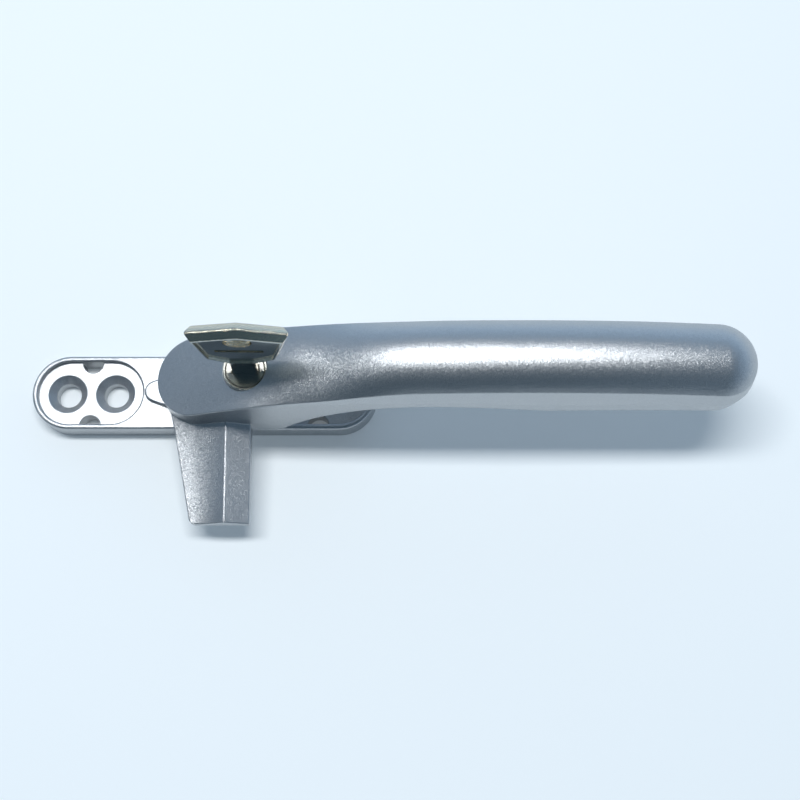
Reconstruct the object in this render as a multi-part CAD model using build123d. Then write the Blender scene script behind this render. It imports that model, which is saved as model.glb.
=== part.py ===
from build123d import *

import math
import os
from typing import NamedTuple

# A key-locking cockspur handle for a casement window, in millimetres.
# The origin lies on the lever's pivot axis, on the plate's mounting face.
# +X runs along the plate towards the grip's tip, the spur points to -Y, and +Z leaves the window.

# Base plate
PLATE_LENGTH = 75.7
PLATE_WIDTH = 16.6
PLATE_THICKNESS = 6.0
PLATE_EDGE_ROUND = 0.7
RECESS_LENGTH = 23.2
RECESS_RIM = 1.15
RECESS_DEPTH = 1.5
RECESS_EDGE_CHAMFER = 0.25
SCREW_SPACING = 10.5
SCREW_HOLE_D = 5.4
COUNTERSINK_D = 8.6
NOTCH_RADIUS = 2.3
PAD_HEIGHT = 1.2
PAD_HUB_RADIUS = 6.0
PAD_NOSE_RADIUS = 2.4
PAD_NOSE_X = 10.5
PAD_EDGE_CHAMFER = 0.3

# Pivot under the hub
SPINDLE_D = 6.0
SPINDLE_SQUARE = 4.0
SPINDLE_SEAT = 7.0
SPINDLE_HEAD_D = 6.4
SPINDLE_HEAD_Z = 0.5
SPINDLE_HEAD_HEIGHT = 0.9
FRICTION_WASHER_D = 10.8
FRICTION_WASHER_THICKNESS = 0.8
SPRING_WASHER_D = 10.4
SPRING_WASHER_THICKNESS = 0.4
SPRING_WASHER_DISH = 0.45
STOP_WASHER_D = 10.6
STOP_WASHER_THICKNESS = 1.2
STOP_TAB_REACH = 6.4
STOP_TAB_ANGLE = 30.0
STOP_TAB_START = 135.0
LEVER_SWING = 90.0

# Lever: hub and neck
HUB_RADIUS = 8.55
HUB_CREASE_Z = 19.2
INCLINE_ANGLE = 24.5
INCLINE_START_X = -20.0
INCLINE_END_X = 9.0
NECK_FOOT_X = 17.6
NECK_FOOT_RISE = 1.5
THROAT_SHARE = 0.56
LEVER_LIFT = 0.2
SHELL_WALL = 2.0
SHELL_START_X = 29.0
LOFT_SPACING = 8.0

# Lever: spur
SPUR_REACH = 29.8
SPUR_RIGHT_X = 11.0
SPUR_RIDGE_X = 5.9
SPUR_ROOT_LEFT_X = -7.4
SPUR_TIP_LEFT_X = -1.6
SPUR_CORNER_ROUND = 1.4
SPUR_RIGHT_FALL = 0.42
SPUR_HOLLOW = 0.5
# Share of the way from tip to root, then the heights of the left edge and of the ridge
SPUR_SLICES = ((0.0, 1.2, 3.6), (0.5, 1.8, 5.0), (0.75, 2.8, 6.2), (1.0, 5.6, 9.0))

# Lock in the neck
LOCK_X = 11.0
LOCK_FACE_Z = 24.4
LOCK_EDGE_CHAMFER = 0.22
SLEEVE_D = 9.4
SLEEVE_WALL = 0.55
SLEEVE_BOTTOM_Z = 11.2
SLEEVE_LIP = 1.0
PLUG_SINK = 0.2
PLUG_SKIRT_D = 6.4
PLUG_SKIRT_LENGTH = 1.5
CLIP_THICKNESS = 0.6
CLIP_D = 7.8
CLIP_GROOVE_D = 5.6
CLIP_OPENING = 100.0
BOLT_BODY_D = 4.4
BOLT_BODY_LENGTH = 5.4
BOLT_SHANK_D = 2.6
BOLT_FLATS = 2.0
BOLT_TRAVEL = 3.2
BOLT_HOLE_DEPTH = 4.2
CROSS_PIN_D = 1.4
GUIDE_D = 8.4
GUIDE_THICKNESS = 2.0
KEY_TURN = 90.0
SLOT_STEPS = 10

# Key
KEY_THICKNESS = 3.4
KEY_NECK_WIDTH = 5.5
KEY_NECK_THICKNESS = 2.4
KEY_BLADE_WIDTH = 5.0
KEY_BLADE_THICKNESS = 2.0
KEY_BLADE_DEPTH = 5.2
KEY_NECK_HEIGHT = 8.4
KEY_BOW_FOOT = 3.2
KEY_BOW_FOOT_WIDTH = 15.0
KEY_BOW_HEIGHT = 12.4
KEY_BOW_WIDTH = 19.7
KEY_ROOF_HEIGHT = 2.6
KEY_CORNER_ROUND = 0.6
KEY_RIM_ROUND = 0.45
KEY_BORDER = 1.0
KEY_PANEL_DEPTH = 0.6
KEY_RING_HOLE_D = 5.6
KEY_RING_HOLE_DROP = 5.0
KEY_BAR_LENGTH = 9.5
KEY_BAR_WIDTH = 1.6
KEY_BAR_DROP = 10.4
KEY_BAR_DEPTH = 0.4
KEY_LEAN = 2.4

# Clearances
RUNNING_FIT = 0.05
PRESS_FIT = 0.02
FACE_GAP = 0.05
SIDE_GAP = 0.2


class Station(NamedTuple):
    """One cross-section of the lever, square to the crease line between its top and its sides."""
    x: float
    crease_z: float
    slope: float
    half_width: float
    band_width: float
    band_drop: float
    crown: float


INCLINE = math.tan(math.radians(INCLINE_ANGLE))
INCLINE_END_Z = HUB_CREASE_Z + INCLINE_END_X * INCLINE
NECK_START = Station(INCLINE_END_X, INCLINE_END_Z, INCLINE, HUB_RADIUS, 0.1, 0.3, 0.35)
NECK_TOP = Station(24.0, 27.8, 0.24, 8.4, 0.2, 1.2, 1.8)
SHOULDER = Station(45.0, 32.2, 0.10, 8.5, 0.85, 4.2, 3.6)
PEAK = Station(70.0, 33.1, 0.0, 8.62, 1.0, 5.6, 3.8)
TIP = Station(108.0, 30.5, -0.15, 8.6, 1.0, 3.6, 3.7)
STATIONS = (NECK_START, NECK_TOP, SHOULDER, PEAK, TIP)
SHOULDER_DEPTH = 6.9
PEAK_DEPTH = 9.6
TIP_DEPTH = 7.4

# Heights and places that follow from the sizes above
PLATE_HALF = PLATE_LENGTH / 2
RECESS_X = PLATE_HALF - RECESS_RIM - RECESS_LENGTH / 2
RECESS_WIDTH = PLATE_WIDTH - 2 * RECESS_RIM
RECESS_FLOOR_Z = PLATE_THICKNESS - RECESS_DEPTH
PAD_Z = PLATE_THICKNESS + PAD_HEIGHT
LEVER_Z = PAD_Z + LEVER_LIFT
WASHER_Z = PAD_Z + FRICTION_WASHER_THICKNESS
STOP_WASHER_Z = SPINDLE_HEAD_Z + SPINDLE_HEAD_HEIGHT
SPRING_Z = STOP_WASHER_Z + STOP_WASHER_THICKNESS
POCKET_Z = SPRING_Z + SPRING_WASHER_DISH + SPRING_WASHER_THICKNESS + FACE_GAP
PLUG_D = SLEEVE_D - 2 * SLEEVE_WALL - 2 * RUNNING_FIT
PLUG_TOP_Z = LOCK_FACE_Z - PLUG_SINK
PLUG_SEAT_Z = SLEEVE_BOTTOM_Z + SLEEVE_LIP + FACE_GAP
SKIRT_BOTTOM_Z = SLEEVE_BOTTOM_Z - PLUG_SKIRT_LENGTH
CLIP_Z = SLEEVE_BOTTOM_Z - FACE_GAP - CLIP_THICKNESS
BOLT_TIP_Z = LEVER_Z + FACE_GAP
GUIDE_Z = LEVER_Z + FACE_GAP
BOLT_BODY_Z = GUIDE_Z + GUIDE_THICKNESS + BOLT_TRAVEL + SIDE_GAP
CROSS_PIN_Z = BOLT_BODY_Z + BOLT_BODY_LENGTH - CROSS_PIN_D
BOLT_BORE_TOP_Z = BOLT_BODY_Z + BOLT_BODY_LENGTH + SIDE_GAP
FAR = 200.0


def ring(outer_d, inner_d, height, z):
    """A flat washer with its lower face at z."""
    return Pos(0, 0, z + height / 2) * (Cylinder(outer_d / 2, height) - Cylinder(inner_d / 2, 2 * height))


def peg(diameter, bottom_z, top_z, x=0.0):
    """An upright round pin between two heights."""
    height = top_z - bottom_z
    return Pos(x, 0, bottom_z + height / 2) * Cylinder(diameter / 2, height)


def flat_peg(diameter, flats, bottom_z, top_z, x=0.0):
    """A round pin with two flats that face the pivot and away from it."""
    height = top_z - bottom_z
    bar = Pos(x, 0, bottom_z + height / 2) * Box(flats, diameter, height)
    return peg(diameter, bottom_z, top_z, x) & bar


def tapered_hull(big_radius, small_radius, small_x):
    """The outline of a large circle at the pivot joined by tangents to a small one on each side."""
    lean = math.asin((big_radius - small_radius) / small_x)
    sketch = Circle(big_radius)
    for side in (-1, 1):
        nose = (side * small_x, 0)
        inner = (side * big_radius * math.sin(lean), big_radius * math.cos(lean))
        outer = (side * (small_x + small_radius * math.sin(lean)), small_radius * math.cos(lean))
        web = Polyline(inner, outer, (outer[0], -outer[1]), (inner[0], -inner[1]), close=True)
        sketch += make_face(web) + Pos(*nose) * Circle(small_radius)
    return sketch


def make_base_plate():
    plate = extrude(SlotOverall(PLATE_LENGTH, PLATE_WIDTH), PLATE_THICKNESS)
    top_edges = plate.faces().sort_by(Axis.Z)[-1].edges()
    plate = fillet(top_edges, min(PLATE_EDGE_ROUND, RECESS_RIM / 2))
    pad = tapered_hull(PAD_HUB_RADIUS, PAD_NOSE_RADIUS, PAD_NOSE_X)
    pad = extrude(pad, PAD_Z)
    plate += chamfer(pad.faces().sort_by(Axis.Z)[-1].edges(), PAD_EDGE_CHAMFER)

    through = 2 * PAD_Z
    sink = (COUNTERSINK_D - SCREW_HOLE_D) / 2
    for side in (-1, 1):
        recess = Pos(side * RECESS_X, 0) * SlotOverall(RECESS_LENGTH, RECESS_WIDTH)
        plate -= Pos(0, 0, RECESS_FLOOR_Z) * extrude(recess, RECESS_DEPTH + PAD_HEIGHT)
        lip = extrude(recess, RECESS_EDGE_CHAMFER, taper=-45)
        plate -= Pos(0, 0, PLATE_THICKNESS - RECESS_EDGE_CHAMFER) * lip
        notches = Sketch()
        for edge in (-1, 1):
            notches += Pos(side * RECESS_X, edge * RECESS_WIDTH / 2) * Circle(NOTCH_RADIUS)
        plate -= extrude(notches & recess, RECESS_FLOOR_Z)
        for step in (-1, 1):
            hole_x = side * RECESS_X + step * SCREW_SPACING / 2
            plate -= peg(SCREW_HOLE_D, -through, through, hole_x)
            cone = Cone(SCREW_HOLE_D / 2, COUNTERSINK_D / 2, sink)
            plate -= Pos(hole_x, 0, RECESS_FLOOR_Z - sink / 2) * cone

    plate -= peg(SPINDLE_D + 2 * RUNNING_FIT, -through, through)
    plate -= peg(STOP_WASHER_D + 2 * SIDE_GAP, 0, POCKET_Z)
    plate -= extrude(stop_sector(LEVER_SWING, SIDE_GAP), POCKET_Z)
    plate -= peg(BOLT_SHANK_D + 2 * SIDE_GAP, PAD_Z - BOLT_HOLE_DEPTH, PAD_Z, LOCK_X)
    return plate


def stop_sector(swing, gap):
    """The sector that the stop tab covers while it turns through a swing, with a gap all round."""
    radius = STOP_TAB_REACH + gap
    spread = math.degrees(2 * gap / STOP_WASHER_D)
    start = STOP_TAB_START - STOP_TAB_ANGLE / 2 - spread
    sweep = swing + STOP_TAB_ANGLE + 2 * spread

    def point(angle):
        return (radius * math.cos(math.radians(angle)), radius * math.sin(math.radians(angle)))

    rim = ThreePointArc(point(start), point(start + sweep / 2), point(start + sweep))
    legs = Polyline(point(start + sweep), (0, 0), point(start))
    return make_face([rim, legs])


def make_pivot_spindle():
    square_z = POCKET_Z
    spindle = peg(SPINDLE_D - 2 * PRESS_FIT, square_z, LEVER_Z + SPINDLE_SEAT)
    height = square_z - STOP_WASHER_Z
    spindle += Pos(0, 0, STOP_WASHER_Z + height / 2) * Box(SPINDLE_SQUARE, SPINDLE_SQUARE, height)
    head = Cone(SPINDLE_HEAD_D / 2 - SPINDLE_HEAD_HEIGHT / 2, SPINDLE_HEAD_D / 2, SPINDLE_HEAD_HEIGHT)
    return spindle + Pos(0, 0, SPINDLE_HEAD_Z + SPINDLE_HEAD_HEIGHT / 2) * head


def make_friction_washer():
    return ring(FRICTION_WASHER_D, SPINDLE_D + 2 * SIDE_GAP, FRICTION_WASHER_THICKNESS, PAD_Z)


def make_spring_washer():
    """A dished disc that is high at its rim, revolved from its sloping section."""
    inner = SPINDLE_D / 2 + SIDE_GAP
    outer = SPRING_WASHER_D / 2
    section = Polyline(
        (inner, SPRING_Z),
        (outer, SPRING_Z + SPRING_WASHER_DISH),
        (outer, SPRING_Z + SPRING_WASHER_DISH + SPRING_WASHER_THICKNESS),
        (inner, SPRING_Z + SPRING_WASHER_THICKNESS),
        close=True,
    )
    return revolve(Plane.XZ * make_face(section), Axis.Z)


def make_stop_washer():
    outline = Circle(STOP_WASHER_D / 2) + stop_sector(0, 0)
    outline -= Rectangle(SPINDLE_SQUARE + 2 * PRESS_FIT, SPINDLE_SQUARE + 2 * PRESS_FIT)
    return Pos(0, 0, STOP_WASHER_Z) * extrude(outline, STOP_WASHER_THICKNESS)


def blend(start, end, share):
    """A value that eases from start to end while share goes from 0 to 1."""
    ease = share * share * (3 - 2 * share)
    return start + (end - start) * ease


def station_at(x):
    """The lever's cross-section sizes at any x, eased between the named stations."""
    if x <= NECK_START.x:
        return NECK_START._replace(x=x, crease_z=HUB_CREASE_Z + x * INCLINE)
    near, far = next(pair for pair in zip(STATIONS, STATIONS[1:]) if x <= pair[1].x)
    span = far.x - near.x
    share = (x - near.x) / span
    rise = far.crease_z - near.crease_z
    a = near.slope * span - rise
    b = rise - far.slope * span
    straight = near.crease_z + rise * share
    crease_z = straight + share * (1 - share) * (a * (1 - share) + b * share)
    bend = (1 - 2 * share) * (a * (1 - share) + b * share) + share * (1 - share) * (b - a)
    sizes = [blend(low, high, share) for low, high in zip(near[3:], far[3:])]
    return Station(x, crease_z, (rise + bend) / span, *sizes)


def section_plane(station):
    """The plane square to the crease line: its x runs across the lever and its y runs up."""
    return Plane(
        origin=(station.x, 0, station.crease_z),
        x_dir=(0, 1, 0),
        z_dir=(1, 0, station.slope),
    )


def section_sizes(station, wall):
    """Half widths and heights of a section, drawn in by a wall on every side."""
    rim = station.half_width - wall
    crease = rim - station.band_width
    return rim, crease, -wall / 2, station.crown - wall


def lever_section(station, depth, wall=0.0):
    """A domed section: level base, upright sides, a sloping band to the crease, then the crown."""
    rim, crease, crease_y, crown = section_sizes(station, wall)
    band_y = crease_y - station.band_drop
    right = [(rim, -depth), (rim, band_y), (crease, crease_y)]
    left = [(-x, y) for x, y in reversed(right)]
    sides = Polyline(*left, *right)
    top = ThreePointArc((crease, crease_y), (0, crown), (-crease, crease_y))
    return section_plane(station) * make_face([sides, top])


def tip_cap(station, depth, wall=0.0):
    """The full-round end: half of the last section turned about its own upright centre line."""
    rim, crease, crease_y, crown = section_sizes(station, wall)
    band_y = crease_y - station.band_drop
    rise = crown - crease_y
    radius = (crease * crease + rise * rise) / (2 * rise)
    half_angle = math.asin(crease / radius) / 2
    middle = (radius * math.sin(half_angle), crown - radius + radius * math.cos(half_angle))
    top = ThreePointArc((crease, crease_y), middle, (0, crown))
    sides = Polyline((0, crown), (0, -depth), (rim, -depth), (rim, band_y), (crease, crease_y))
    plane = section_plane(station)
    return revolve(plane * make_face([top, sides]), Axis(plane.origin, -plane.y_dir), 180)


def lever_form(start_x, depth, wall=0.0):
    """The bar lofted through evenly spaced sections from a start to the tip, closed by its round end."""
    count = math.ceil((TIP.x - start_x) / LOFT_SPACING)
    step = (TIP.x - start_x) / count
    sections = [lever_section(station_at(start_x + step * i), depth, wall) for i in range(count)]
    sections.append(lever_section(TIP, depth, wall))
    return loft(sections) + tip_cap(TIP, depth, wall)


def underside():
    """Everything below the hub's foot, the neck's hollow curve and the grip's lower rim."""
    foot = (NECK_FOOT_X, LEVER_Z)
    shoulder = (SHOULDER.x, SHOULDER.crease_z - SHOULDER_DEPTH)
    peak = (PEAK.x, PEAK.crease_z - PEAK_DEPTH)
    tip = (TIP.x, TIP.crease_z - TIP_DEPTH)
    drop = (tip[1] - peak[1]) / (tip[0] - peak[0]) * 2
    beyond = (TIP.x + FAR, tip[1] + drop * FAR)
    throat = ((foot[0] * 2 + shoulder[0]) / 3, foot[1] + (shoulder[1] - foot[1]) * THROAT_SHARE)
    curve = Spline(foot, throat, shoulder, peak, tip, tangents=((1, NECK_FOOT_RISE), (1, drop)))
    floor = Polyline(tip, beyond, (beyond[0], -FAR), (-FAR, -FAR), (-FAR, LEVER_Z), foot)
    return extrude(Plane.XZ * make_face([curve, floor]), FAR, both=True)


def spur_section(y, left_x, edge_z, ridge_z):
    """A slice of the spur: a hollow left facet up to the ridge, then a flat one falling to the right."""
    right_x = SPUR_RIGHT_X + SPUR_CORNER_ROUND
    right_z = ridge_z - SPUR_RIGHT_FALL * (right_x - SPUR_RIDGE_X)
    middle = ((left_x + SPUR_RIDGE_X) / 2, (edge_z + ridge_z) / 2 - SPUR_HOLLOW)
    facet = ThreePointArc((left_x, edge_z), middle, (SPUR_RIDGE_X, ridge_z))
    rest = Polyline(
        (SPUR_RIDGE_X, ridge_z),
        (right_x, right_z),
        (right_x, LEVER_Z),
        (left_x, LEVER_Z),
        (left_x, edge_z),
    )
    return Plane.XZ.offset(-y) * make_face([facet, rest])


def make_spur():
    """The tongue: its ridged top lofted from tip to root, then trimmed to its tapered outline."""
    sections = []
    spread = SPUR_ROOT_LEFT_X - SPUR_TIP_LEFT_X
    for share, edge_height, ridge_height in SPUR_SLICES:
        left_x = SPUR_TIP_LEFT_X - SPUR_CORNER_ROUND + spread * share
        y = -(SPUR_REACH + SPUR_CORNER_ROUND) * (1 - share)
        sections.append(spur_section(y, left_x, LEVER_Z + edge_height, LEVER_Z + ridge_height))
    outline = make_face(
        Polyline(
            (SPUR_RIGHT_X, 0),
            (SPUR_RIGHT_X, -SPUR_REACH),
            (SPUR_TIP_LEFT_X, -SPUR_REACH),
            (SPUR_ROOT_LEFT_X, 0),
            close=True,
        )
    )
    corner = outline.vertices().sort_by(Axis.Y)[:2].sort_by(Axis.X)[0]
    outline = fillet(corner, SPUR_CORNER_ROUND)
    return loft(sections) & extrude(outline, FAR)


def make_lever_handle():
    deep = HUB_CREASE_Z + HUB_RADIUS
    lever = lever_form(INCLINE_START_X, deep)
    beside_hub = Pos(-FAR / 2, 0, 0) * Box(FAR, FAR, FAR) - Cylinder(HUB_RADIUS, 2 * FAR)
    lever -= beside_hub
    lever -= underside()
    lever -= lever_form(SHELL_START_X, deep, SHELL_WALL)
    lever += make_spur()

    lever -= peg(SPINDLE_D, LEVER_Z - LEVER_LIFT, LEVER_Z + SPINDLE_SEAT + FACE_GAP)
    lever -= peg(FRICTION_WASHER_D + 2 * SIDE_GAP, PAD_Z, WASHER_Z + FACE_GAP)
    lever -= peg(SLEEVE_D + 2 * PRESS_FIT, SLEEVE_BOTTOM_Z - FACE_GAP, FAR, LOCK_X)
    lever -= peg(GUIDE_D + 2 * PRESS_FIT, 0, SLEEVE_BOTTOM_Z, LOCK_X)
    return lever


def make_lock_sleeve():
    bore = SLEEVE_D - 2 * SLEEVE_WALL
    sleeve = peg(SLEEVE_D, SLEEVE_BOTTOM_Z, LOCK_FACE_Z, LOCK_X)
    sleeve = chamfer(sleeve.edges().sort_by(Axis.Z)[-1], LOCK_EDGE_CHAMFER)
    sleeve -= peg(bore, SLEEVE_BOTTOM_Z + SLEEVE_LIP, FAR, LOCK_X)
    return sleeve - peg(PLUG_SKIRT_D + 2 * RUNNING_FIT, 0, FAR, LOCK_X)


def make_lock_plug():
    plug = peg(PLUG_D, PLUG_SEAT_Z, PLUG_TOP_Z, LOCK_X)
    plug = chamfer(plug.edges().sort_by(Axis.Z)[-1], LOCK_EDGE_CHAMFER)
    plug += peg(PLUG_SKIRT_D, SKIRT_BOTTOM_Z, PLUG_SEAT_Z, LOCK_X)
    groove = ring(PLUG_SKIRT_D + SLEEVE_D, CLIP_GROOVE_D, CLIP_THICKNESS + FACE_GAP, CLIP_Z - FACE_GAP)
    plug -= Pos(LOCK_X, 0, 0) * groove
    plug -= peg(BOLT_BODY_D + 2 * RUNNING_FIT, 0, BOLT_BORE_TOP_Z, LOCK_X)

    slot_radius = CROSS_PIN_D / 2 + SIDE_GAP / 2
    for step in range(SLOT_STEPS + 1):
        share = step / SLOT_STEPS
        cutter = Rot(0, 0, -KEY_TURN * share) * Rot(0, 90, 0) * Cylinder(slot_radius, 2 * PLUG_D)
        plug -= Pos(LOCK_X, 0, CROSS_PIN_Z - BOLT_TRAVEL * share) * cutter

    keyway_depth = KEY_BLADE_DEPTH + SIDE_GAP
    keyway = Box(KEY_BLADE_WIDTH + 4 * SIDE_GAP, KEY_BLADE_THICKNESS + SIDE_GAP, 2 * keyway_depth)
    return plug - Pos(LOCK_X, 0, PLUG_TOP_Z) * keyway


def make_plug_clip():
    clip = Circle(CLIP_D / 2) - Circle(CLIP_GROOVE_D / 2 + RUNNING_FIT)
    reach = CLIP_D * math.tan(math.radians(CLIP_OPENING / 2))
    clip -= make_face(Polyline((0, 0), (reach, CLIP_D), (-reach, CLIP_D), close=True))
    return Pos(LOCK_X, 0, CLIP_Z) * extrude(clip, CLIP_THICKNESS)


def make_lock_bolt():
    bolt = peg(BOLT_BODY_D, BOLT_BODY_Z, BOLT_BODY_Z + BOLT_BODY_LENGTH, LOCK_X)
    bolt += flat_peg(BOLT_SHANK_D, BOLT_FLATS, BOLT_TIP_Z, BOLT_BODY_Z, LOCK_X)
    bore = Rot(0, 90, 0) * Cylinder(CROSS_PIN_D / 2 + PRESS_FIT, 2 * BOLT_BODY_D)
    return bolt - Pos(LOCK_X, 0, CROSS_PIN_Z) * bore


def make_bolt_cross_pin():
    length = PLUG_D - 2 * SIDE_GAP
    return Pos(LOCK_X, 0, CROSS_PIN_Z) * Rot(0, 90, 0) * Cylinder(CROSS_PIN_D / 2, length)


def make_bolt_guide():
    guide = peg(GUIDE_D, GUIDE_Z, GUIDE_Z + GUIDE_THICKNESS, LOCK_X)
    return guide - flat_peg(BOLT_SHANK_D + 2 * RUNNING_FIT, BOLT_FLATS + 2 * RUNNING_FIT, 0, FAR, LOCK_X)


def key_bow(inset):
    """The bow's outline above the lock face: a waisted foot, spreading sides and a roofed top."""
    foot = KEY_NECK_WIDTH / 2 - inset / 2
    foot_z = KEY_NECK_HEIGHT + inset
    side_z = KEY_NECK_HEIGHT + KEY_BOW_FOOT + inset
    top_z = KEY_NECK_HEIGHT + KEY_BOW_FOOT + KEY_BOW_HEIGHT - inset
    side = KEY_BOW_FOOT_WIDTH / 2 - inset
    top = KEY_BOW_WIDTH / 2 - inset
    right = [(foot, foot_z), (side, side_z), (top, top_z)]
    left = [(-x, z) for x, z in reversed(right)]
    return make_face(Polyline(*right, (0, top_z + KEY_ROOF_HEIGHT), *left, close=True))


def make_key():
    """The key stands on the lock face: drawn upright there, then leaned by the play in its slot."""
    roof_z = KEY_NECK_HEIGHT + KEY_BOW_FOOT + KEY_BOW_HEIGHT + KEY_ROOF_HEIGHT
    bow = extrude(Plane.XZ * key_bow(0), KEY_THICKNESS / 2, both=True)
    bow = fillet(bow.edges().filter_by(Axis.Y), KEY_CORNER_ROUND)
    rims = bow.faces().filter_by(Axis.Y).edges()
    bow = fillet(rims, KEY_RIM_ROUND)
    panel = Plane.XZ * key_bow(KEY_BORDER)
    face_y = KEY_THICKNESS / 2 - KEY_PANEL_DEPTH
    bar = Pos(0, roof_z - KEY_BAR_DROP) * SlotOverall(KEY_BAR_LENGTH, KEY_BAR_WIDTH)
    for side in (-1, 1):
        bow -= Pos(0, side * (face_y + KEY_THICKNESS / 2), 0) * extrude(panel, KEY_THICKNESS / 2, both=True)
        bar_y = side * (face_y - KEY_BAR_DEPTH + KEY_THICKNESS / 2)
        bow -= Pos(0, bar_y, 0) * extrude(Plane.XZ * bar, KEY_THICKNESS / 2, both=True)
    hole = Rot(90, 0, 0) * Cylinder(KEY_RING_HOLE_D / 2, 2 * KEY_THICKNESS)
    bow -= Pos(0, 0, roof_z - KEY_RING_HOLE_DROP) * hole

    neck_z = KEY_NECK_HEIGHT / 2 + KEY_BORDER
    neck = Pos(0, 0, neck_z) * Box(KEY_NECK_WIDTH, KEY_NECK_THICKNESS, KEY_NECK_HEIGHT)
    blade_height = KEY_BLADE_DEPTH + 2 * KEY_BORDER
    blade_z = blade_height / 2 - KEY_BLADE_DEPTH
    blade = Pos(0, 0, blade_z) * Box(KEY_BLADE_WIDTH, KEY_BLADE_THICKNESS, blade_height)
    return Pos(LOCK_X, 0, PLUG_TOP_Z) * Rot(0, KEY_LEAN, 0) * (bow + neck + blade)


PIECES = {
    "base_plate": make_base_plate,
    "pivot_spindle": make_pivot_spindle,
    "friction_washer": make_friction_washer,
    "spring_washer": make_spring_washer,
    "stop_washer": make_stop_washer,
    "lever_handle": make_lever_handle,
    "lock_sleeve": make_lock_sleeve,
    "lock_plug": make_lock_plug,
    "plug_clip": make_plug_clip,
    "lock_bolt": make_lock_bolt,
    "bolt_cross_pin": make_bolt_cross_pin,
    "bolt_guide": make_bolt_guide,
    "key": make_key,
}

os.makedirs("parts", exist_ok=True)
for name, make in PIECES.items():
    export_step(make(), f"parts/{name}.step")
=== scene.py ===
import math

import bmesh
import bpy
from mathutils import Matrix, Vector


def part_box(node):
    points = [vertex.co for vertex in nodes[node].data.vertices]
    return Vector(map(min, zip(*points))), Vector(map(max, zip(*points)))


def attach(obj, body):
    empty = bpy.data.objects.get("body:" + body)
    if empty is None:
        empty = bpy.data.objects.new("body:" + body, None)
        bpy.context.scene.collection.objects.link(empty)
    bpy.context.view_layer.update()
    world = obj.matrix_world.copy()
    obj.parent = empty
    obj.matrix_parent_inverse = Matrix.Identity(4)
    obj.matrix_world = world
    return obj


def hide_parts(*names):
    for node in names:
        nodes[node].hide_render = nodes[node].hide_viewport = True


# A key-locking cockspur handle lying on its plate. The frame is the part's own, in metres:
# the pivot axis is Z, the grip runs to +X and the spur points to -Y.

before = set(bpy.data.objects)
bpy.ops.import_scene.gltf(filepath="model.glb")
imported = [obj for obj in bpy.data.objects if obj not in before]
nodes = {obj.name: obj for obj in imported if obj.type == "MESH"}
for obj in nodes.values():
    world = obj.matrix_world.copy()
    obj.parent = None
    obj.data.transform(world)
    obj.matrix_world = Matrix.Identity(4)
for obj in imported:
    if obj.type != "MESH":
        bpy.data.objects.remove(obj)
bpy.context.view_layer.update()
bpy.ops.object.select_all(action="DESELECT")

MM = 0.001

# Camera: the photograph's view, almost straight down from the spur's side
CAMERA_PLACE = Vector((42.98, -76.96, 286.64)) * MM
CAMERA_TILT = math.radians(15)
CAMERA_LENS = 59.6

# Lamp: a long soft strip overhead, in line with the grip
LAMP_PLACE = Vector((-60, 150, 1000)) * MM
LAMP_LENGTH = 720 * MM
LAMP_WIDTH = 140 * MM
LAMP_POWER = 8.8

# Room: dark overhead and palest low down behind, as the metal shows it. The camera sees one colour.
ROOM_DARK = (0.03, 0.06, 0.085, 1)
ROOM_PALE = (0.74, 1.02, 1.36, 1)
ROOM_SHOWN = (0.80, 0.90, 0.97, 1)
ROOM_LEVEL = 0.5
ROOM_BEHIND = 0.45
ROOM_RIGHT = 0.15

# Floor: it shows a little of the room's colour near the object, and only that past the fade
FLOOR_COLOUR = (0.87, 0.93, 0.96, 1)
FLOOR_ROUGHNESS = 0.8
FLOOR_SIZE = 4.0
FLOOR_FADE_START = 0.3
FLOOR_FADE_END = 0.8
FLOOR_SHOWN = 0.15

# Silver paint on the castings
PAINT_COLOUR = (0.46, 0.48, 0.50, 1)
PAINT_DULL_FLAKE = (0.40, 0.42, 0.44, 1)
PAINT_BRIGHT_FLAKE = (0.48, 0.50, 0.52, 1)
PAINT_ROUGHNESS = 0.37
FLAKE_SIZE = 0.08 * MM
FLAKE_LEAN = 0.28
FLAKE_CENTRE = (0.5, 0.5, 0.5)
CAST_EDGE = 0.45 * MM

# Nickel on the lock and on the key
LOCK_COLOUR = (0.42, 0.42, 0.39, 1)
LOCK_ROUGHNESS = 0.18
TURNED_EDGE = 0.15 * MM
KEY_FACE_COLOUR = (0.34, 0.38, 0.39, 1)
KEY_RIM_COLOUR = (0.62, 0.57, 0.46, 1)
KEY_RIM_SPREAD = 1.5
KEY_ROUGHNESS = 0.16
PEBBLE_SIZE = 0.35 * MM
PEBBLE_DETAIL = 3.0
PEBBLE_STRENGTH = 0.9
PEBBLE_DEPTH = 0.15 * MM
EDGE_SAMPLES = 6

# Plain finishes: colour, metallic, roughness
ZINC = ((0.62, 0.63, 0.64, 1), 1.0, 0.32)
DARK_STEEL = ((0.36, 0.37, 0.39, 1), 1.0, 0.35)
NYLON = ((0.86, 0.86, 0.83, 1), 0.0, 0.5)
BRASS = ((0.78, 0.62, 0.34, 1), 1.0, 0.28)

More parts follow.
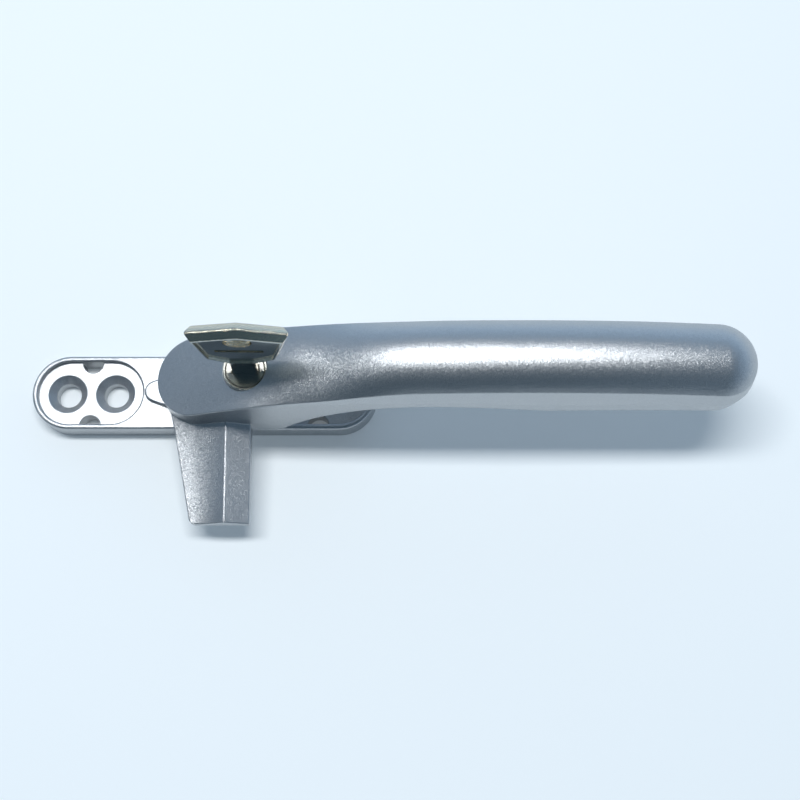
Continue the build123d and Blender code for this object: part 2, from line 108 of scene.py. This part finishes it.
# Key, in millimetres above the plug's face before it leans. The side runs from foot to roof.
KEY_SIDE = ((2.75, 8.4), (7.5, 11.6), (9.85, 23.9))
KEY_ROOF = 26.5
KEY_THICKNESS = 3.4
KEY_CREST = 0.5
KEY_DRAFT = 1.0
KEY_EDGE = 0.2
KEY_EDGE_STEPS = 3
KEY_LIP = 0.35
KEY_WALL = 0.12
KEY_PANEL = 0.5
KEY_HOLE_RADIUS = 2.8
KEY_HOLE_HEIGHT = 21.6
KEY_HOLE_SIDES = 48
KEY_GROOVE = (9.5, 0.8, 1.5)
KEY_GROOVE_EDGE = 0.3
KEY_GROOVE_HEIGHT = 16.2
KEY_NECK = (5.5, 2.4, 9.6)
KEY_NECK_EDGE = 0.7
KEY_BLADE = (5.0, 2.0, 7.2)
KEY_BLADE_EDGE = 0.2
KEY_BLADE_DEPTH = 5.2
KEY_LEAN = math.radians(2.4)
KEY_SMOOTH_ANGLE = math.radians(25)
BAR_EDGE_STEPS = 4

# Tests that tell faces and edges apart by their normals and ends
FLAT_FACE = 0.999
DRAFT_LEAST = 0.3
DRAFT_MOST = 0.9
UPRIGHT_RISE = MM / 10


class Shade:
    """A socket in a node tree that takes part in sums, so a mask is written as a formula."""

    def __init__(self, tree, socket):
        self.tree = tree
        self.socket = socket

    def node(self, kind, settings=None, **inputs):
        """Adds any node: its settings first, then a value or a link for each named input."""
        made = self.tree.nodes.new(kind)
        for name, value in (settings or {}).items():
            setattr(made, name, value)
        for name, value in inputs.items():
            self.feed(made.inputs, name, value)
        return made

    def feed(self, sockets, name, value):
        """Gives a socket, found by its name or as i and its number, a value or a link."""
        numbered = name[1:].isdigit()
        target = sockets[int(name[1:])] if numbered else sockets[name.replace("_", " ")]
        if isinstance(value, Shade):
            self.tree.links.new(value.socket, target)
        else:
            target.default_value = value

    def out(self, node, name=0):
        return Shade(self.tree, node.outputs[name])

    def sum(self, operation, first, second):
        return self.out(self.node("ShaderNodeMath", {"operation": operation}, i0=first, i1=second))

    def vector(self, operation, first, **inputs):
        """A sum of vectors."""
        settings = {"operation": operation}
        return self.out(self.node("ShaderNodeVectorMath", settings, i0=first, **inputs))

    def blend(self, share, first, second):
        """A colour that goes from the first to the second as the share goes from 0 to 1."""
        settings = {"data_type": "RGBA"}
        return self.out(self.node("ShaderNodeMix", settings, i0=share, i6=first, i7=second), 2)

    def __add__(self, other):
        return self.sum("ADD", self, other)

    def __radd__(self, other):
        return self.sum("ADD", other, self)

    def __rsub__(self, other):
        return self.sum("SUBTRACT", other, self)

    def __mul__(self, other):
        return self.sum("MULTIPLY", self, other)

    def __rmul__(self, other):
        return self.sum("MULTIPLY", other, self)


def new_finish(name, colour, metallic, roughness):
    """A material with its uniform values set, and a Shade on its object coordinates to build on."""
    material = bpy.data.materials.new(name)
    material.use_nodes = True
    tree = material.node_tree
    surface = tree.nodes["Principled BSDF"]
    surface.inputs["Base Color"].default_value = colour
    surface.inputs["Metallic"].default_value = metallic
    surface.inputs["Roughness"].default_value = roughness
    place = tree.nodes.new("ShaderNodeTexCoord")
    return material, surface, Shade(tree, place.outputs["Object"])


def soft_edges(place, radius):
    """The surface's normal, eased across edges as if they were rounded."""
    return place.out(place.node("ShaderNodeBevel", {"samples": EDGE_SAMPLES}, Radius=radius))


def silver_paint():
    """Satin silver paint: each fine flake has its own brightness and its own lean."""
    material, surface, place = new_finish("silver_paint", PAINT_COLOUR, 1.0, PAINT_ROUGHNESS)
    cells = place.node("ShaderNodeTexVoronoi", Vector=place, Scale=1 / FLAKE_SIZE)
    flakes = place.out(cells, "Color")
    grain = place.out(place.node("ShaderNodeSeparateColor", Color=flakes), "Red")
    tint = place.blend(grain, PAINT_DULL_FLAKE, PAINT_BRIGHT_FLAKE)
    place.feed(surface.inputs, "Base Color", tint)

    centred = place.vector("SUBTRACT", flakes, i1=FLAKE_CENTRE)
    lean = place.vector("SCALE", centred, Scale=FLAKE_LEAN)
    tipped = place.vector("ADD", soft_edges(place, CAST_EDGE), i1=lean)
    place.feed(surface.inputs, "Normal", place.vector("NORMALIZE", tipped))
    return material


def nickel_plate():
    """Nickel on turned brass, with its edges softened by polishing."""
    material, surface, place = new_finish("lock_plating", LOCK_COLOUR, 1.0, LOCK_ROUGHNESS)
    place.feed(surface.inputs, "Normal", soft_edges(place, TURNED_EDGE))
    return material


def key_plate():
    """Nickel on a rough casting: paler, warmer and pebbled round the rim; darker and smooth on the
    faces.
    """
    material, surface, place = new_finish("key_plating", KEY_FACE_COLOUR, 1.0, KEY_ROUGHNESS)
    facing = place.out(place.node("ShaderNodeTexCoord"), "Normal")
    across = place.out(place.node("ShaderNodeSeparateXYZ", Vector=facing), "Y")
    rim = 1 - across * across
    tint = place.blend(KEY_RIM_SPREAD * rim, KEY_FACE_COLOUR, KEY_RIM_COLOUR)
    place.feed(surface.inputs, "Base Color", tint)

    noise = place.node(
        "ShaderNodeTexNoise", Vector=place, Scale=1 / PEBBLE_SIZE, Detail=PEBBLE_DETAIL
    )
    height = place.out(noise, "Fac") * rim
    relief = place.node(
        "ShaderNodeBump", Height=height, Strength=PEBBLE_STRENGTH, Distance=PEBBLE_DEPTH
    )
    place.feed(surface.inputs, "Normal", place.out(relief))
    return material


def plain_finish(name, look):
    return new_finish(name, *look)[0]


FINISHES = {
    "silver_paint": (silver_paint(), ("base_plate", "lever_handle")),
    "zinc_steel": (
        plain_finish("zinc_steel", ZINC),
        ("pivot_spindle", "stop_washer", "lock_bolt", "bolt_cross_pin"),
    ),
    "spring_steel": (plain_finish("spring_steel", DARK_STEEL), ("spring_washer", "plug_clip")),
    "nylon": (plain_finish("nylon", NYLON), ("friction_washer",)),
    "lock_plating": (nickel_plate(), ("lock_sleeve", "lock_plug")),
    "guide_brass": (plain_finish("guide_brass", BRASS), ("bolt_guide",)),
    "key_plating": (key_plate(), ("key",)),
}


def dress(piece, slot):
    """Gives a piece the one finish of its slot."""
    piece.data.materials.clear()
    piece.data.materials.append(FINISHES[slot][0])


def select(piece, kind, wanted):
    """Selects, in edit mode, the edges or faces that pass a test."""
    bpy.ops.mesh.select_mode(type=kind)
    bpy.ops.mesh.select_all(action="DESELECT")
    mesh = bmesh.from_edit_mesh(piece.data)
    for part in mesh.edges if kind == "EDGE" else mesh.faces:
        part.select_set(wanted(part))
    bmesh.update_edit_mesh(piece.data)


def is_upright(edge):
    low, high = edge.verts
    return abs(low.co.z - high.co.z) > UPRIGHT_RISE


def is_key_face(face):
    return abs(face.normal.y) > FLAT_FACE


def bounds_draft(edge):
    """Tells whether one of the two faces at an edge, and only one, has the mould's draft."""
    return sum(DRAFT_LEAST < abs(face.normal.y) < DRAFT_MOST for face in edge.link_faces) == 1


def apply_place(piece):
    """Moves a piece's place and turn into its mesh."""
    bpy.ops.object.select_all(action="DESELECT")
    piece.select_set(True)
    bpy.context.view_layer.objects.active = piece
    bpy.ops.object.transform_apply(location=True, rotation=True, scale=True)


def combine(piece, tool, operation):
    """Cuts a tool piece out of another or melts it in, and clears the tool away."""
    bpy.context.view_layer.objects.active = piece
    step = piece.modifiers.new(tool.name, "BOOLEAN")
    step.operation = operation
    step.object = tool
    bpy.ops.object.modifier_apply(modifier=step.name)
    bpy.data.objects.remove(tool)


def make_bar(name, size, place, edge):
    """A block of a size in millimetres round a place, with its upright edges rounded."""
    bpy.ops.mesh.primitive_cube_add(size=1, location=Vector(place) * MM)
    bar = bpy.context.active_object
    bar.name = name
    bar.scale = Vector(size) * MM
    apply_place(bar)
    bpy.ops.object.mode_set(mode="EDIT")
    select(bar, "EDGE", is_upright)
    bpy.ops.mesh.bevel(offset=edge * MM, segments=BAR_EDGE_STEPS, affect="EDGES")
    bpy.ops.object.mode_set(mode="OBJECT")
    return bar


def make_key_bow():
    """The bow: its outline as a slab, drafted to each face, with a panel sunk there."""
    outline = list(KEY_SIDE) + [(0, KEY_ROOF)] + [(-x, z) for x, z in reversed(KEY_SIDE)]
    bpy.ops.mesh.primitive_circle_add(vertices=len(outline), fill_type="NGON")
    bow = bpy.context.active_object
    bow.name = "cast_key"
    for corner, (x, z) in zip(bow.data.vertices, outline):
        corner.co = Vector((x, -KEY_CREST / 2, z)) * MM
    bpy.ops.object.mode_set(mode="EDIT")
    bpy.ops.mesh.select_all(action="SELECT")
    bpy.ops.mesh.extrude_region_move(TRANSFORM_OT_translate={"value": (0, KEY_CREST * MM, 0)})
    bpy.ops.mesh.select_all(action="SELECT")
    bpy.ops.mesh.normals_make_consistent(inside=False)
    select(bow, "FACE", is_key_face)
    bpy.ops.mesh.inset(thickness=KEY_DRAFT * MM, depth=(KEY_THICKNESS - KEY_CREST) / 2 * MM)
    bpy.ops.mesh.inset(thickness=KEY_LIP * MM)
    bpy.ops.mesh.inset(thickness=KEY_WALL * MM, depth=-KEY_PANEL * MM)
    select(bow, "EDGE", bounds_draft)
    bpy.ops.mesh.bevel(offset=KEY_EDGE * MM, segments=KEY_EDGE_STEPS, affect="EDGES")
    bpy.ops.object.mode_set(mode="OBJECT")
    return bow


def make_key():
    """The key, standing in the plug and leaning by the play in its slot."""
    key = make_key_bow()
    bpy.ops.mesh.primitive_cylinder_add(
        vertices=KEY_HOLE_SIDES,
        radius=KEY_HOLE_RADIUS * MM,
        depth=2 * KEY_THICKNESS * MM,
        location=(0, 0, KEY_HOLE_HEIGHT * MM),
        rotation=(math.pi / 2, 0, 0),
    )
    combine(key, bpy.context.active_object, "DIFFERENCE")
    panel_y = KEY_THICKNESS / 2 - KEY_PANEL
    for groove_y in (-panel_y, panel_y):
        groove_place = (0, groove_y, KEY_GROOVE_HEIGHT)
        groove = make_bar("groove", KEY_GROOVE, groove_place, KEY_GROOVE_EDGE)
        combine(key, groove, "DIFFERENCE")
    neck = make_bar("neck", KEY_NECK, (0, 0, KEY_NECK[2] / 2), KEY_NECK_EDGE)
    combine(key, neck, "UNION")
    blade_z = KEY_BLADE[2] / 2 - KEY_BLADE_DEPTH
    blade = make_bar("blade", KEY_BLADE, (0, 0, blade_z), KEY_BLADE_EDGE)
    combine(key, blade, "UNION")

    plug_low, plug_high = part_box("lock_plug")
    key.location = ((plug_low[0] + plug_high[0]) / 2, 0, plug_high[2])
    key.rotation_euler = (0, KEY_LEAN, 0)
    apply_place(key)
    bpy.ops.object.shade_smooth_by_angle(angle=KEY_SMOOTH_ANGLE)
    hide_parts("key")
    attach(key, "plug")
    dress(key, "key_plating")


def floor_finish():
    """A pale matt floor that melts into the room's shown colour far from the object."""
    material, surface, place = new_finish("floor", FLOOR_COLOUR, 0.0, FLOOR_ROUGHNESS)
    reach = place.out(
        place.node("ShaderNodeVectorMath", {"operation": "LENGTH"}, i0=place), "Value"
    )
    far = place.out(
        place.node(
            "ShaderNodeMapRange",
            Value=reach,
            From_Min=FLOOR_FADE_START,
            From_Max=FLOOR_FADE_END,
            To_Min=FLOOR_SHOWN,
        )
    )
    path = place.node("ShaderNodeLightPath")
    direct = place.out(path, "Is Camera Ray")
    mirrored = place.out(path, "Is Glossy Ray") + place.out(path, "Is Transmission Ray")
    room = place.out(place.node("ShaderNodeEmission", Color=ROOM_SHOWN))
    near = Shade(place.tree, surface.outputs["BSDF"])
    share = far * (direct + mirrored)
    blend = place.out(place.node("ShaderNodeMixShader", i0=share, i1=near, i2=room))
    place.feed(place.tree.nodes["Material Output"].inputs, "Surface", blend)
    return material


def make_floor():
    bpy.ops.mesh.primitive_plane_add(size=FLOOR_SIZE)
    floor = bpy.context.active_object
    floor.name = "floor"
    floor.data.materials.append(floor_finish())


def make_lamp():
    bpy.ops.object.light_add(type="AREA", location=LAMP_PLACE)
    lamp = bpy.context.active_object
    lamp.name = "lamp"
    lamp.data.shape = "RECTANGLE"
    lamp.data.size = LAMP_LENGTH
    lamp.data.size_y = LAMP_WIDTH
    lamp.data.energy = LAMP_POWER


def make_room():
    """The room's light: palest low down and behind, and plain pale where the camera sees it."""
    world = bpy.data.worlds.new("room")
    bpy.context.scene.world = world
    world.use_nodes = True
    tree = world.node_tree
    tree.nodes.clear()
    base = Shade(tree, tree.nodes.new("ShaderNodeTexCoord").outputs["Generated"])
    parts = base.node("ShaderNodeSeparateXYZ", Vector=base)
    lowness = 1 - base.out(parts, "Z")
    turned = ROOM_LEVEL + ROOM_BEHIND * base.out(parts, "Y") + ROOM_RIGHT * base.out(parts, "X")
    spread = base.blend(lowness * turned, ROOM_DARK, ROOM_PALE)
    direct = base.out(base.node("ShaderNodeLightPath"), "Is Camera Ray")
    light = base.node("ShaderNodeBackground", Color=base.blend(direct, spread, ROOM_SHOWN))
    base.node("ShaderNodeOutputWorld", Surface=base.out(light))


def make_camera():
    camera = bpy.data.cameras.new("camera")
    camera.lens = CAMERA_LENS
    holder = bpy.data.objects.new("camera", camera)
    holder.location = CAMERA_PLACE
    holder.rotation_euler = (CAMERA_TILT, 0, 0)
    bpy.context.scene.collection.objects.link(holder)
    bpy.context.scene.camera = holder


for slot, (finish, members) in FINISHES.items():
    for member in members:
        dress(nodes[member], slot)

make_key()
make_floor()
make_lamp()
make_room()
make_camera()
bpy.context.scene.view_settings.view_transform = "Standard"
